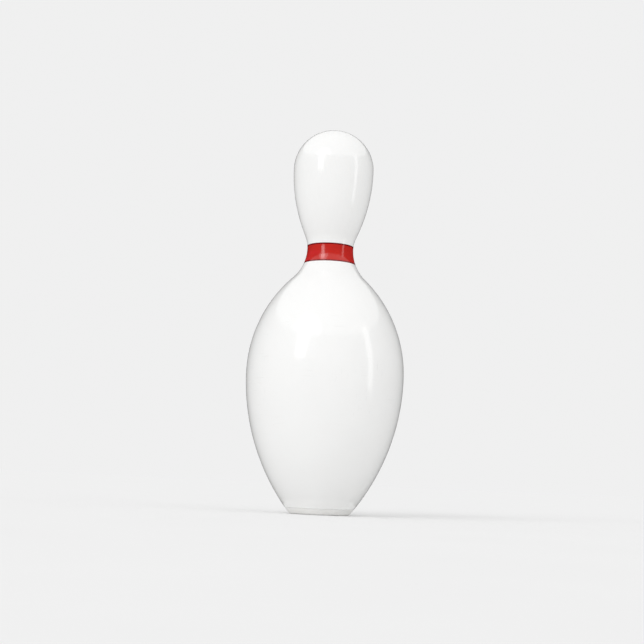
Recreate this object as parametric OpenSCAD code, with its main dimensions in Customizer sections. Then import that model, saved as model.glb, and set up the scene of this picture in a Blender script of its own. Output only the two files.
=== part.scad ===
// A bowling pin, built up the way a real one is: hard maple boards glued into
// a billet and turned, a nylon base ring pressed into the foot, a plastic
// jacket moulded over the wood, and a printed band inlaid round the neck.
// Millimetres, +Z up, origin at the centre of the foot.

/* [Outline] */
// Height of the pin
pin_h = 381; // [375:0.5:387]
// Diameter at the belly
belly_d = 154.5; // [152:0.5:158]
// Height of the widest part of the belly
belly_z = 135; // [130:1:138]
// Diameter at the narrowest part of the neck
neck_d = 45.6; // [42:0.2:48]
// Height of the narrowest part of the neck
neck_z = 261; // [258:1:265]
// Diameter of the head
head_d = 79.8; // [78:0.2:82]
// Diameter where the sides would meet the floor
base_d = 58; // [56:1:62]
// Radius of the hollow curve between belly and neck
shoulder_r = 42; // [37:0.5:46]
// Radius of the hollow curve between neck and head
throat_r = 30.6; // [26:0.2:35]

/* [Jacket and base ring] */
// Thickness of the jacket, measured level
jacket_t = 2.5; // [2:0.1:3]
// Height of the base ring's flange, below the jacket
flange_h = 6; // [5:0.5:8]
// Height of the base ring's shoulder, inside the jacket
lip_h = 3; // [2:0.5:4]
// Diameter of the flat that the pin stands on
foot_d = 55; // [53:0.5:55.5]
// Diameter of the hollow in the middle of the foot
recess_d = 42; // [36:1:46]
// Depth of that hollow
recess_h = 1.5; // [1:0.1:2]
// Diameter of the drive hole
bore_d = 19.8; // [19:0.1:20.6]
// Diameter of the spigot round the drive hole
spigot_d = 32; // [30:0.5:34]
// Depth of the drive hole, from the foot
bore_depth = 30; // [24:1:40]

/* [Boards] */
// Thickness of each of the three core boards
board_t = 26; // [25.5:0.1:26.5]
// Thickness of each side slab
slab_t = 19; // [18.8:0.1:19.4]
// Diameter of the weight voids
void_d = 30; // [20:1:32]
// Height from one weight void to the next
void_gap = 45; // [40:1:47]

/* [Neck band] */
// Height of the band's lower edge
band_z = 245; // [243:0.5:250]
// Height of the band, with its edge lines
band_h = 18.5; // [14:0.5:20]
// Height of each edge line
line_h = 1.4; // [0.8:0.1:1.8]
// Depth of the band in the jacket, measured level
band_t = 0.4; // [0.3:0.1:0.8]

/* [Hidden] */
$fn = 180;

belly_r = belly_d / 2;
neck_r = neck_d / 2;
head_r = head_d / 2;
base_r = base_d / 2;
foot_r = foot_d / 2;
bore_r = bore_d / 2;
recess_r = recess_d / 2;
head_z = pin_h - head_r;

// Radius of a level-topped arc that comes in by dr over a height of dz
function reach(dr, dz) = (dr * dr + dz * dz) / (2 * dr);

// The sides, from the floor to the belly, are one arc. Above the belly and
// under the head, a bulging arc meets a hollow one and shares its tangent.
lower_r = reach(belly_r - base_r, belly_z);
upper_reach = reach(belly_r - neck_r, neck_z - belly_z);
cheek_reach = reach(head_r - neck_r, head_z - neck_z);
upper_r = upper_reach - shoulder_r;
cheek_r = cheek_reach - throat_r;
shoulder_z = neck_z - (neck_z - belly_z) * shoulder_r / upper_reach;
throat_z = neck_z + (head_z - neck_z) * throat_r / cheek_reach;

// Rise and run of the bevel round the foot
bevel_h = 1.2;
bevel_w = 2.6;
// Slope at the edge of the foot's hollow
recess_slope = 2;

wood_z = flange_h + lip_h;
band_top = band_z + band_h;

// The post is square. Two layers of slabs surround it.
post_w = 3 * board_t / 2;
inner_w = post_w + slab_t;
outer_w = inner_w + slab_t;

// Mark left in the top of the wood by the lathe's centre
centre_r = 5;
centre_h = 6;

// Half outlines are drawn with the radius along X and the height along Y.

// A strip from height z0 to z1, out to radius r
module strip(z0, z1, r = belly_d) {
    polygon([[0, z0], [r, z0], [r, z1], [0, z1]]);
}

module bulging(x, z, r, z0, z1) {
    intersection() {
        translate([x, z]) circle(r);
        strip(z0, z1);
    }
}

module hollowed(x, z, r, z0, z1) {
    difference() {
        strip(z0, z1, x);
        translate([x, z]) circle(r);
    }
}

// Everything inside the pin's surface, less a skin of thickness t
module outline(t = 0) {
    bulging(belly_r - lower_r - t, belly_z, lower_r, 0, belly_z);
    bulging(belly_r - upper_r - t, belly_z, upper_r, belly_z, shoulder_z);
    hollowed(neck_r + shoulder_r - t, neck_z, shoulder_r, shoulder_z, neck_z);
    hollowed(neck_r + throat_r - t, neck_z, throat_r, neck_z, throat_z);
    bulging(head_r - cheek_r - t, head_z, cheek_r, throat_z, head_z);
    bulging(0, head_z, head_r - t, head_z, pin_h);
}

module wood_outline() {
    difference() {
        outline(jacket_t);
        strip(-1, wood_z);
        strip(-1, bore_depth, spigot_d / 2);
        polygon([[0, pin_h - jacket_t - centre_h], [centre_r, pin_h], [0, pin_h]]);
    }
}

// The skin from height z0 to z1, as deep as the band
module band(z0, z1) {
    rotate_extrude() intersection() {
        difference() {
            outline();
            outline(band_t);
        }
        strip(z0, z1);
    }
}

// The turned billet, and the part of it inside an upright box
module billet(x0, x1, y0, y1) {
    intersection() {
        rotate_extrude() wood_outline();
        translate([x0, y0, 0]) cube([x1 - x0, y1 - y0, pin_h]);
    }
}

module weight_voids() {
    for (step = [-1:1])
        translate([0, 0, belly_z + step * void_gap])
            rotate([0, 90, 0])
                cylinder(h = 2 * inner_w, d = void_d, center = true);
}

// Post boards and inner slabs on the left and right are bored for the voids.
module bored_board(x0, x1) {
    difference() {
        billet(x0, x1, -post_w, post_w);
        weight_voids();
    }
}

module jacket() {
    color("whitesmoke") rotate_extrude() difference() {
        outline();
        strip(-1, flange_h);
        intersection() {
            outline(jacket_t);
            strip(flange_h, wood_z);
        }
        wood_outline();
        strip(-1, bore_depth, spigot_d / 2);
        difference() {
            strip(band_z, band_top);
            outline(band_t);
        }
    }
}

module neck_band() {
    color("firebrick") band(band_z + line_h, band_top - line_h);
}

module band_line_top() {
    color("maroon") band(band_top - line_h, band_top);
}

module band_line_bottom() {
    color("maroon") band(band_z, band_z + line_h);
}

module base_ring() {
    color("ivory") rotate_extrude() difference() {
        union() {
            intersection() {
                outline();
                polygon([[0, 0], [foot_r, 0], [foot_r + 10 * bevel_w, 10 * bevel_h], [0, 10 * bevel_h]]);
                strip(0, flange_h);
            }
            intersection() {
                outline(jacket_t);
                strip(flange_h, wood_z);
            }
            strip(wood_z, bore_depth, spigot_d / 2);
        }
        strip(-1, bore_depth + 1, bore_r);
        polygon([[0, -1], [recess_r + recess_slope, -1], [recess_r, recess_h], [0, recess_h]]);
    }
}

module core_board_left() {
    color("burlywood") bored_board(-post_w, -board_t / 2);
}

module core_board_middle() {
    color("tan") bored_board(-board_t / 2, board_t / 2);
}

module core_board_right() {
    color("burlywood") bored_board(board_t / 2, post_w);
}

module inner_slab_left() {
    color("wheat") bored_board(-inner_w, -post_w);
}

module inner_slab_right() {
    color("wheat") bored_board(post_w, inner_w);
}

module inner_slab_front() {
    color("moccasin") billet(-inner_w, inner_w, -inner_w, -post_w);
}

module inner_slab_back() {
    color("moccasin") billet(-inner_w, inner_w, post_w, inner_w);
}

module outer_slab_left() {
    color("tan") billet(-outer_w, -inner_w, -inner_w, inner_w);
}

module outer_slab_right() {
    color("tan") billet(inner_w, outer_w, -inner_w, inner_w);
}

module outer_slab_front() {
    color("burlywood") billet(-outer_w, outer_w, -outer_w, -inner_w);
}

module outer_slab_back() {
    color("burlywood") billet(-outer_w, outer_w, inner_w, outer_w);
}

jacket();
neck_band();
band_line_top();
band_line_bottom();
base_ring();
core_board_left();
core_board_middle();
core_board_right();
inner_slab_left();
inner_slab_right();
inner_slab_front();
inner_slab_back();
outer_slab_left();
outer_slab_right();
outer_slab_front();
outer_slab_back();
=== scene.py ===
import math

import bmesh
import bpy
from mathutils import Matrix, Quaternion, Vector


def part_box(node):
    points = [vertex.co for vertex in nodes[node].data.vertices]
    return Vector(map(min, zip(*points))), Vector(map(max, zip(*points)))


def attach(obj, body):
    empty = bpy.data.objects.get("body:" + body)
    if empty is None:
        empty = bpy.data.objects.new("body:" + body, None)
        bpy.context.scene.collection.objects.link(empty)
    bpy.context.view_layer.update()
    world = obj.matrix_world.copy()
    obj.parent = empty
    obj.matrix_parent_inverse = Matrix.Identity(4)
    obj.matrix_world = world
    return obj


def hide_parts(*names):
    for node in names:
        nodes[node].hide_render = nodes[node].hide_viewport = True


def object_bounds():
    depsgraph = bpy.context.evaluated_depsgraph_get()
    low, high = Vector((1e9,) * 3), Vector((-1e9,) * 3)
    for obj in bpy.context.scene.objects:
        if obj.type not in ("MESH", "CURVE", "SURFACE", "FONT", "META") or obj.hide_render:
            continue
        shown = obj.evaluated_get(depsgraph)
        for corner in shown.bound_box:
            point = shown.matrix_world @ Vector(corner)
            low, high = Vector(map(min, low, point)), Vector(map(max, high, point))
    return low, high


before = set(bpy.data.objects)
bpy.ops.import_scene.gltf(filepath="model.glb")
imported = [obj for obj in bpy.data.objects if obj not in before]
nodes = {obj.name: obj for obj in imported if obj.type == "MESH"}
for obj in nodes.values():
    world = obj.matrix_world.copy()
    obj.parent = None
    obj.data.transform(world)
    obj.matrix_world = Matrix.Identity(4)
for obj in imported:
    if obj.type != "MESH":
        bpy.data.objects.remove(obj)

cad_low, cad_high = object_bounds()

# ---------------------------------------------------------------- sizes, in metres

PIN_H = cad_high.z
BELLY_R = 0.07725
BELLY_Z = 0.135
NECK_R = 0.0228
NECK_Z = 0.261
HEAD_R = 0.0399
BASE_R = 0.029
SHOULDER_R = 0.042
THROAT_R = 0.0306
HEAD_Z = PIN_H - HEAD_R

JACKET_T = 0.0025
BAND_T = 0.0004
FLANGE_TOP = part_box("jacket")[0].z
RING_R_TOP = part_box("base_ring")[1].z
WOOD_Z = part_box("core_board_left")[0].z
BORE_R = 0.0099
SPIGOT_R = 0.016
RECESS_R = 0.021
RECESS_H = 0.0015
RECESS_SLOPE = 0.0012
# Two fine turned grooves in the recess under the foot
GROOVE_RS = (0.0135, 0.0172)
GROOVE_HALF_W = 0.0004
GROOVE_H = 0.0004
# Nub inside the head, in the mark that the lathe's centre leaves in the wood
NUB_R = 0.0034
NUB_H = 0.006
NUB_DROP = 0.0002

LINE_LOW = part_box("band_line_bottom")
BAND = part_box("neck_band")
LINE_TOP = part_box("band_line_top")

# Softened edges: the jacket's seam, the foot, the drive hole and the recess
SEAM_EDGE = 0.0003
FOOT_EDGE = 0.003
BORE_EDGE = 0.0005
RECESS_EDGE_IN = 0.0001
RECESS_EDGE_OUT = 0.0002
RECESS_EDGE_H = 0.0002

# Fineness of the meshes: faces round the axis, rings on the dome, and heights between rings
SEGMENTS = 180
DOME_STEPS = 26
RING_STEP = 0.0025
FINE_STEP = 0.0012
SHOULDER_STEP = 0.001
# Edges that turn by more than this stay sharp.
SHARP_DEG = 28.0

# ---------------------------------------------------------------- the pin's outline


def reach(dr, dz):
    """Radius of a level-topped arc that comes in by dr over a height of dz."""
    return (dr * dr + dz * dz) / (2 * dr)


LOWER_R = reach(BELLY_R - BASE_R, BELLY_Z)
UPPER_REACH = reach(BELLY_R - NECK_R, NECK_Z - BELLY_Z)
CHEEK_REACH = reach(HEAD_R - NECK_R, HEAD_Z - NECK_Z)
UPPER_R = UPPER_REACH - SHOULDER_R
CHEEK_R = CHEEK_REACH - THROAT_R
SHOULDER_Z = NECK_Z - (NECK_Z - BELLY_Z) * SHOULDER_R / UPPER_REACH
THROAT_Z = NECK_Z + (HEAD_Z - NECK_Z) * THROAT_R / CHEEK_REACH

# The CAD mesh's facets leave its box a hair narrower than the true circle.
TRIM = min(-cad_low.x, -cad_low.y, cad_high.x, cad_high.y) / BELLY_R


def arc_x(radius, rise):
    return math.sqrt(max(radius * radius - rise * rise, 0.0))


def outline_r(z, skin=0.0):
    """Radius of the pin at height z, inside a skin measured level, or radially on the dome."""
    if z < BELLY_Z:
        r = BELLY_R - LOWER_R + arc_x(LOWER_R, BELLY_Z - z)
    elif z < SHOULDER_Z:
        r = BELLY_R - UPPER_R + arc_x(UPPER_R, z - BELLY_Z)
    elif z < NECK_Z:
        r = NECK_R + SHOULDER_R - arc_x(SHOULDER_R, NECK_Z - z)
    elif z < THROAT_Z:
        r = NECK_R + THROAT_R - arc_x(THROAT_R, z - NECK_Z)
    elif z < HEAD_Z:
        r = HEAD_R - CHEEK_R + arc_x(CHEEK_R, HEAD_Z - z)
    else:
        return arc_x(HEAD_R - skin, z - HEAD_Z) * TRIM
    return (r - skin) * TRIM


def climb(z0, z1, skin=0.0, step=RING_STEP):
    """Outline points from height z0 to z1, in either direction, both ends included."""
    count = max(1, math.ceil(abs(z1 - z0) / step))
    heights = [z0 + (z1 - z0) * i / count for i in range(count + 1)]
    return [(outline_r(z, skin), z) for z in heights]


def dome(skin=0.0):
    """Outline points from the head's widest ring to its pole, without the first."""
    r = HEAD_R - skin
    angles = [math.pi / 2 * i / DOME_STEPS for i in range(1, DOME_STEPS)]
    points = [(r * math.cos(a) * TRIM, HEAD_Z + r * math.sin(a)) for a in angles]
    return points + [(0.0, HEAD_Z + r)]


# ---------------------------------------------------------------- mesh helpers


def lathe(name, profile, closed=False):
    """Turns (radius, height) points round Z. A closed profile's last point joins its first."""
    bm = bmesh.new()
    angles = [2 * math.pi * i / SEGMENTS for i in range(SEGMENTS)]
    rings = []
    for r, z in profile:
        if r == 0.0:
            rings.append([bm.verts.new((0.0, 0.0, z))])
            continue
        rings.append([bm.verts.new((r * math.cos(a), r * math.sin(a), z)) for a in angles])
    pairs = list(zip(rings, rings[1:]))
    if closed:
        pairs.append((rings[-1], rings[0]))
    for low, high in pairs:
        for i in range(SEGMENTS):
            j = (i + 1) % SEGMENTS
            corners = [low[i % len(low)], low[j % len(low)]]
            corners += [high[j % len(high)], high[i % len(high)]]
            # At a pole two corners are the same point, and the face is a triangle.
            bm.faces.new(list(dict.fromkeys(corners)))
    bmesh.ops.recalc_face_normals(bm, faces=bm.faces)
    for edge in bm.edges:
        edge.smooth = edge.calc_face_angle(0.0) < math.radians(SHARP_DEG)
    for face in bm.faces:
        face.smooth = True
    mesh = bpy.data.meshes.new(name)
    bm.to_mesh(mesh)
    bm.free()
    piece = bpy.data.objects.new(name, mesh)
    bpy.context.scene.collection.objects.link(piece)
    return piece


def rounding(centre, radius, start_deg, end_deg, steps):
    """Points on a small arc, for a rounded edge."""
    x, z = centre
    turns = [start_deg + (end_deg - start_deg) * i / steps for i in range(steps + 1)]
    angles = [math.radians(turn) for turn in turns]
    return [(x + radius * math.cos(a), z + radius * math.sin(a)) for a in angles]


# ---------------------------------------------------------------- material helpers


class Shader:
    """A node tree under construction, with short calls for the nodes that the materials share."""

    def __init__(self, name):
        self.material = bpy.data.materials.new(name)
        self.material.use_nodes = True
        self.tree = self.material.node_tree
        self.surface = self.tree.nodes["Principled BSDF"]
        self.coords = self.add("ShaderNodeTexCoord").outputs["Object"]

    def add(self, kind, **properties):
        node = self.tree.nodes.new(kind)
        for key, value in properties.items():
            setattr(node, key, value)
        return node

    def feed(self, socket, value):
        if isinstance(value, bpy.types.NodeSocket):
            self.tree.links.new(value, socket)
        else:
            socket.default_value = value

    def set(self, **values):
        """Values that are the same all over the surface."""
        for key, value in values.items():
            self.surface.inputs[key.replace("_", " ")].default_value = value

    def link(self, **values):
        for key, value in values.items():
            self.feed(self.surface.inputs[key.replace("_", " ")], value)

    def noise(self, scale, detail=2.0, roughness=0.5, stretch=(1, 1, 1), shift=(0, 0, 0)):
        place = self.add("ShaderNodeMapping")
        self.feed(place.inputs["Vector"], self.coords)
        place.inputs["Scale"].default_value = stretch
        place.inputs["Location"].default_value = shift
        noise = self.add("ShaderNodeTexNoise")
        self.feed(noise.inputs["Vector"], place.outputs["Vector"])
        noise.inputs["Scale"].default_value = scale
        noise.inputs["Detail"].default_value = detail
        noise.inputs["Roughness"].default_value = roughness
        return noise.outputs["Fac"]

    def span(self, value, low, high, new_low=0.0, new_high=1.0):
        """Maps low..high to new_low..new_high, and holds the ends."""
        node = self.add("ShaderNodeMapRange")
        self.feed(node.inputs["Value"], value)
        limits = {"From Min": low, "From Max": high, "To Min": new_low, "To Max": new_high}
        for key, limit in limits.items():
            node.inputs[key].default_value = limit
        return node.outputs["Result"]

    def maths(self, operation, a, b):
        node = self.add("ShaderNodeMath", operation=operation)
        self.feed(node.inputs[0], a)
        self.feed(node.inputs[1], b)
        return node.outputs[0]

    def mix(self, factor, a, b):
        """Blends two colours. The node's inputs 0, 6 and 7 are its factor and its two colours."""
        node = self.add("ShaderNodeMix", data_type="RGBA")
        self.feed(node.inputs[0], factor)
        self.feed(node.inputs[6], a)
        self.feed(node.inputs[7], b)
        return node.outputs[2]

    def height(self):
        split = self.add("ShaderNodeSeparateXYZ")
        self.feed(split.inputs[0], self.coords)
        return split.outputs["Z"]

    def bump(self, height, distance, strength=1.0, under=None):
        node = self.add("ShaderNodeBump")
        node.inputs["Strength"].default_value = strength
        node.inputs["Distance"].default_value = distance
        self.feed(node.inputs["Height"], height)
        if under is not None:
            self.feed(node.inputs["Normal"], under)
        return node.outputs["Normal"]


def rgb(red, green, blue):
    return (red, green, blue, 1.0)


# ---------------------------------------------------------------- materials


def lacquer(s, dulled=0.0):
    """Clear gloss lacquer, a little hazy in places, with orange peel over the moulding's waves."""
    haze = s.span(s.noise(38, detail=4, roughness=0.6), 0.3, 0.7, 0.09, 0.15)
    s.link(Roughness=s.maths("ADD", haze, dulled))
    waves = s.bump(s.noise(60, detail=1), distance=0.0004, strength=0.25)
    s.link(Normal=s.bump(s.noise(520, detail=2), distance=0.00003, strength=0.5, under=waves))
    s.set(IOR=1.5)


def white_jacket():
    """White ionomer under clear lacquer, with hairline scuffs where pins and balls meet it."""
    s = Shader("white_jacket")
    z = s.height()
    cloudy = s.span(s.noise(9, detail=3), 0.35, 0.65)
    white = s.mix(cloudy, rgb(0.918, 0.918, 0.910), rgb(0.894, 0.894, 0.886))
    belt = s.maths("MULTIPLY", s.span(z, 0.070, 0.120), s.span(z, 0.200, 0.150))
    level = s.span(s.noise(130, detail=2, stretch=(0.3, 0.3, 9), shift=(1, 4, 2)), 0.66, 0.72)
    steep = s.span(s.noise(130, detail=2, stretch=(8, 8, 0.5), shift=(6, 2, 3)), 0.68, 0.74)
    patches = s.span(s.noise(16, detail=2, shift=(3, 1, 2)), 0.42, 0.60)
    scratches = s.maths("MAXIMUM", level, steep)
    scuff = s.maths("MULTIPLY", s.maths("MULTIPLY", scratches, patches), belt)
    s.link(Base_Color=s.mix(s.maths("MULTIPLY", scuff, 0.30), white, rgb(0.50, 0.49, 0.47)))
    lacquer(s, dulled=s.maths("MULTIPLY", scuff, 0.25))
    s.set(Subsurface_Weight=0.06, Subsurface_Radius=(1.0, 0.95, 0.9), Subsurface_Scale=0.003)
    return s.material


def red_band():
    """Red ink laid on a little unevenly, round the neck, under the clear lacquer."""
    s = Shader("red_band")
    broad = s.span(s.noise(45, detail=2), 0.35, 0.65)
    red = s.mix(broad, rgb(0.566, 0.023, 0.016), rgb(0.506, 0.019, 0.014))
    bright = s.span(s.noise(70, detail=2, shift=(5, 2, 1)), 0.55, 0.70, 0.0, 0.6)
    red = s.mix(bright, red, rgb(0.645, 0.025, 0.040))
    strokes = s.span(s.noise(240, detail=3, stretch=(1, 1, 5)), 0.40, 0.75, 0.0, 0.35)
    s.link(Base_Color=s.mix(strokes, red, rgb(0.366, 0.017, 0.013)))
    lacquer(s)
    return s.material


def dark_line():
    """The thin maroon line along each edge of the band."""
    s = Shader("dark_line")
    thin = s.span(s.noise(420, detail=3), 0.35, 0.7)
    s.link(Base_Color=s.mix(thin, rgb(0.150, 0.004, 0.006), rgb(0.240, 0.008, 0.010)))
    lacquer(s)
    return s.material


def base_nylon():
    """Moulded nylon, satin, with fine grain, and rub marks of the lane on the foot."""
    s = Shader("base_nylon")
    z = s.height()
    cloudy = s.span(s.noise(40, detail=3), 0.35, 0.65)
    cream = s.mix(cloudy, rgb(0.885, 0.882, 0.866), rgb(0.860, 0.856, 0.834))
    across = s.span(s.noise(700, detail=5, stretch=(1, 4, 1)), 0.50, 0.75)
    along = s.span(s.noise(700, detail=5, stretch=(4, 1, 1), shift=(4, 1, 3)), 0.50, 0.75)
    grit = s.maths("MAXIMUM", across, along)
    rubbed = s.maths("MULTIPLY", s.span(z, 0.0010, 0.0), grit)
    s.link(Base_Color=s.mix(s.maths("MULTIPLY", rubbed, 0.45), cream, rgb(0.42, 0.40, 0.36)))
    s.link(Roughness=s.span(s.noise(180, detail=3), 0.3, 0.7, 0.38, 0.52))
    s.link(Normal=s.bump(s.noise(1500, detail=2), distance=0.00004, strength=0.5))
    s.set(IOR=1.53)
    s.set(Subsurface_Weight=0.08, Subsurface_Radius=(1.0, 0.95, 0.85), Subsurface_Scale=0.003)
    return s.material


def maple(name, pith, lean_deg, tone):
    """Hard maple: growth rings round a far-off pith, long fibres and short ray flecks."""
    s = Shader(name)
    lean = math.radians(lean_deg)
    place = s.add("ShaderNodeMapping", vector_type="POINT")
    s.feed(place.inputs["Vector"], s.coords)
    place.inputs["Location"].default_value = (-pith[0], -pith[1], 0.0)
    place.inputs["Scale"].default_value = (1.0, 1.0, 0.35)
    place.inputs["Rotation"].default_value = (lean, -lean / 2, 0.0)
    rings = s.add("ShaderNodeTexWave", wave_type="RINGS", rings_direction="Z", wave_profile="SAW")
    s.feed(rings.inputs["Vector"], place.outputs["Vector"])
    growth = {"Scale": 110.0, "Distortion": 9.0, "Detail": 3.0, "Detail Scale": 0.16}
    for key, value in growth.items():
        rings.inputs[key].default_value = value
    late = s.span(rings.outputs["Fac"], 0.62, 1.0, 0.0, 0.50)
    uneven = s.span(s.noise(22, detail=2, stretch=(1, 1, 0.2)), 0.3, 0.7, 0.35, 1.0)
    late = s.maths("MULTIPLY", late, uneven)
    pale = rgb(0.70 * tone, 0.50 * tone, 0.31 * tone)
    dark = rgb(0.52 * tone, 0.33 * tone, 0.18 * tone)
    wood = s.mix(late, pale, dark)
    fibres = s.noise(900, detail=3, stretch=(1, 1, 0.03))
    brown = rgb(0.40 * tone, 0.24 * tone, 0.12 * tone)
    wood = s.mix(s.span(fibres, 0.35, 0.75, 0.0, 0.25), wood, brown)
    flecks = s.noise(700, detail=2, stretch=(1, 1, 0.12), shift=(2, 7, 1))
    flecks = s.span(flecks, 0.66, 0.72, 0.0, 0.4)
    s.link(Base_Color=s.mix(flecks, wood, rgb(0.82 * tone, 0.63 * tone, 0.42 * tone)))
    s.link(Roughness=s.span(fibres, 0.3, 0.7, 0.48, 0.66))
    s.link(Normal=s.bump(fibres, distance=0.00008, strength=0.6))
    s.set(IOR=1.5)
    return s.material


def paper_white():
    """The pale floor."""
    s = Shader("paper_white")
    grain = s.noise(7, detail=3)
    s.link(Base_Color=s.mix(grain, rgb(0.856, 0.856, 0.856), rgb(0.876, 0.876, 0.876)))
    s.set(Roughness=0.9, Specular_IOR_Level=0.0)
    return s.material


def card_black():
    """The black cards round the set."""
    s = Shader("card_black")
    s.link(Base_Color=s.mix(s.noise(20), rgb(0.012, 0.012, 0.012), rgb(0.02, 0.02, 0.02)))
    s.set(Roughness=0.9, Specular_IOR_Level=0.1)
    return s.material


# ---------------------------------------------------------------- the pieces


def finish_piece(piece, material, slot, *cad_nodes):
    piece.data.materials.append(material)
    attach(piece, "root")
    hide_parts(*cad_nodes)


def make_jacket():
    """The shell, with a groove outside for the band and the lathe centre's nub inside."""
    lip_z = FLANGE_TOP + SEAM_EDGE
    outside = rounding((outline_r(lip_z) - SEAM_EDGE, lip_z), SEAM_EDGE, -90, 0, steps=5)
    outside += climb(lip_z, LINE_LOW[0].z)[1:]
    groove = climb(LINE_LOW[0].z, LINE_TOP[1].z, skin=BAND_T)
    above = climb(LINE_TOP[1].z, HEAD_Z) + dome()
    inner_top = PIN_H - JACKET_T
    inside = [(0.0, inner_top - NUB_H), (NUB_R * TRIM, inner_top - NUB_DROP)]
    inside += [p for p in reversed(dome(skin=JACKET_T)[:-1]) if p[0] > NUB_R]
    inside += climb(HEAD_Z, FLANGE_TOP, skin=JACKET_T, step=2 * RING_STEP)
    # From the inner pole down the inside, round the lip, and up the outside to the outer pole
    return lathe("jacket_shell", inside + outside + groove + above)


def make_ring():
    """The nylon base: recess, foot, flange, shoulder inside the jacket, and spigot."""
    edge_x = BELLY_R - LOWER_R + arc_x(LOWER_R - FOOT_EDGE, BELLY_Z - FOOT_EDGE)
    wall_deg = math.degrees(math.asin((BELLY_Z - FOOT_EDGE) / (LOWER_R - FOOT_EDGE)))
    recess_edge = RECESS_R + RECESS_SLOPE
    top = FLANGE_TOP - SEAM_EDGE
    profile = rounding((BORE_R + BORE_EDGE, RECESS_H + BORE_EDGE), BORE_EDGE, 180, 270, steps=4)
    for r in GROOVE_RS:
        profile.append((r - GROOVE_HALF_W, RECESS_H))
        profile.append((r, RECESS_H + GROOVE_H))
        profile.append((r + GROOVE_HALF_W, RECESS_H))
    profile.append((RECESS_R, RECESS_H))
    profile.append((recess_edge - RECESS_EDGE_IN, RECESS_EDGE_H))
    profile.append((recess_edge + RECESS_EDGE_OUT, 0.0))
    profile += rounding((edge_x, FOOT_EDGE), FOOT_EDGE, -90, -wall_deg, steps=8)
    profile += climb(profile[-1][1], top, step=FINE_STEP)[1:]
    profile += rounding((outline_r(top) - SEAM_EDGE, top), SEAM_EDGE, 0, 90, steps=5)[1:]
    profile += climb(FLANGE_TOP, WOOD_Z, skin=JACKET_T, step=SHOULDER_STEP)
    profile += [(SPIGOT_R, WOOD_Z), (SPIGOT_R, RING_R_TOP), (BORE_R, RING_R_TOP)]
    return lathe("base_ring_moulding", profile, closed=True)


def make_band(name, z0, z1):
    """A ring let into the neck, flush with the jacket outside."""
    outside = climb(z0, z1, step=FINE_STEP)
    inside = climb(z1, z0, skin=BAND_T, step=FINE_STEP)
    return lathe(name, outside + inside, closed=True)


finish_piece(make_jacket(), white_jacket(), "white_jacket", "jacket")
finish_piece(make_ring(), base_nylon(), "base_nylon", "base_ring")
finish_piece(make_band("neck_band_ink", BAND[0].z, BAND[1].z), red_band(), "red_band", "neck_band")
LINE_INK = dark_line()
for line in ("band_line_top", "band_line_bottom"):
    low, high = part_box(line)
    finish_piece(make_band(line + "_ink", low.z, high.z), LINE_INK, "dark_line", line)

# Each board's pith in metres, the lean of its grain in degrees, and its tone. They all differ,
# because each board comes from its own place in a log.
BOARDS = {
    "core_board_left": ((0.11, 0.05), 1.5, 0.98),
    "core_board_middle": ((0.02, -0.12), -1.0, 0.87),
    "core_board_right": ((-0.13, 0.04), 2.0, 1.06),
    "inner_slab_left": ((0.03, 0.16), 1.0, 1.08),
    "inner_slab_right": ((-0.02, -0.15), -2.0, 0.92),
    "inner_slab_front": ((0.14, 0.09), 1.2, 1.03),
    "inner_slab_back": ((-0.12, -0.10), -1.4, 0.90),
    "outer_slab_left": ((0.05, 0.13), 2.2, 0.94),
    "outer_slab_right": ((-0.06, 0.17), -0.8, 1.05),
    "outer_slab_front": ((0.15, 0.02), 1.7, 0.89),
    "outer_slab_back": ((-0.16, -0.03), -1.8, 1.07),
}
for board, (pith, lean, tone) in BOARDS.items():
    nodes[board].data.materials.clear()
    nodes[board].data.materials.append(maple("maple_" + board, pith, lean, tone))

# ---------------------------------------------------------------- floor, light and camera

# Brightness of the air, which also sets the tone of the background
AIR = 0.87
FLOOR_R = 60.0
# The black cards: where they start and end, and how high they lie and stand
CARD_NEAR, CARD_FAR = 0.045, 3.0
CARD_LIFT, CARD_TOP = 0.002, 2.2


def studio_floor():
    """A pale floor that runs on to the horizon."""
    rings = [0.0, 0.25, 0.6, 1.5, 4.0, 12.0, FLOOR_R]
    floor = lathe("studio_floor", [(r, 0.0) for r in rings])
    floor.data.materials.append(paper_white())


def aimed(light, place, aim):
    bpy.context.scene.collection.objects.link(light)
    light.location = place
    light.rotation_euler = (Vector(aim) - Vector(place)).to_track_quat("-Z", "Y").to_euler()


def soft_sun(name, towards, power, spread_deg):
    """Even light from one side over the whole floor, with a soft shadow."""
    data = bpy.data.lights.new(name, "SUN")
    data.energy = power
    data.angle = math.radians(spread_deg)
    aimed(bpy.data.objects.new(name, data), towards, (0.0, 0.0, 0.0))


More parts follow.
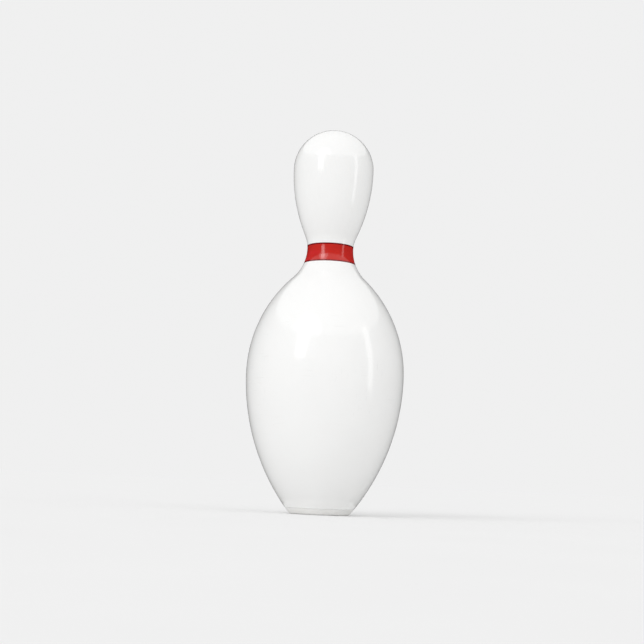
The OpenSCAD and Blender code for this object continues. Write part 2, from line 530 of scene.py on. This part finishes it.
def softbox(name, place, aim, size, power):
    """A large panel whose reflection shows the lacquer's gloss."""
    data = bpy.data.lights.new(name, "AREA")
    data.shape = "RECTANGLE"
    data.size, data.size_y = size
    data.energy = power
    light = bpy.data.objects.new(name, data)
    light.visible_camera = False
    light.visible_diffuse = False
    aimed(light, place, aim)


def dark_surround():
    """Black cards all round, seen only in gloss, which draw a thin dark line round the pin."""
    profile = [(CARD_NEAR, CARD_LIFT), (CARD_FAR, CARD_LIFT), (CARD_FAR, CARD_TOP)]
    cards = lathe("dark_surround", profile)
    cards.data.materials.append(card_black())
    cards.visible_camera = False
    cards.visible_shadow = False
    cards.visible_diffuse = False


studio_floor()
middle = (0.0, 0.0, PIN_H / 2)
soft_sun("key_sun", towards=(-0.7, -1.0, 0.75), power=0.72, spread_deg=40)
soft_sun("fill_sun", towards=(1.1, -0.7, 0.35), power=0.2, spread_deg=60)
softbox("key_box", place=(-1.0, -1.3, 1.1), aim=middle, size=(0.5, 1.1), power=7)
softbox("rim_box", place=(1.4, -0.6, 0.6), aim=middle, size=(0.25, 1.2), power=2.0)
dark_surround()

world = bpy.data.worlds.new("studio_air")
bpy.context.scene.world = world
world.use_nodes = True
background = world.node_tree.nodes["Background"]
background.inputs["Color"].default_value = rgb(1.0, 1.0, 1.0)
background.inputs["Strength"].default_value = AIR

# The camera stands low in front of the pin, looks up a little, and is rolled so that the pin
# leans right.
CAMERA_BACK = 1.24
CAMERA_H = 0.030
AIM_H = 0.1878
CAMERA_X = -0.0051
LENS = 70.8
ROLL_DEG = 2.5

camera_data = bpy.data.cameras.new("camera")
camera_data.lens = LENS
camera_data.sensor_width = 36.0
camera_data.clip_start = 0.01
camera = bpy.data.objects.new("camera", camera_data)
bpy.context.scene.collection.objects.link(camera)
camera.location = (CAMERA_X, -CAMERA_BACK, CAMERA_H)
towards = Vector((CAMERA_X, 0.0, AIM_H)) - camera.location
look = towards.to_track_quat("-Z", "Y")
camera.rotation_mode = "QUATERNION"
camera.rotation_quaternion = look @ Quaternion((0.0, 0.0, 1.0), math.radians(ROLL_DEG))
bpy.context.scene.camera = camera

bpy.context.scene.view_settings.view_transform = "Standard"
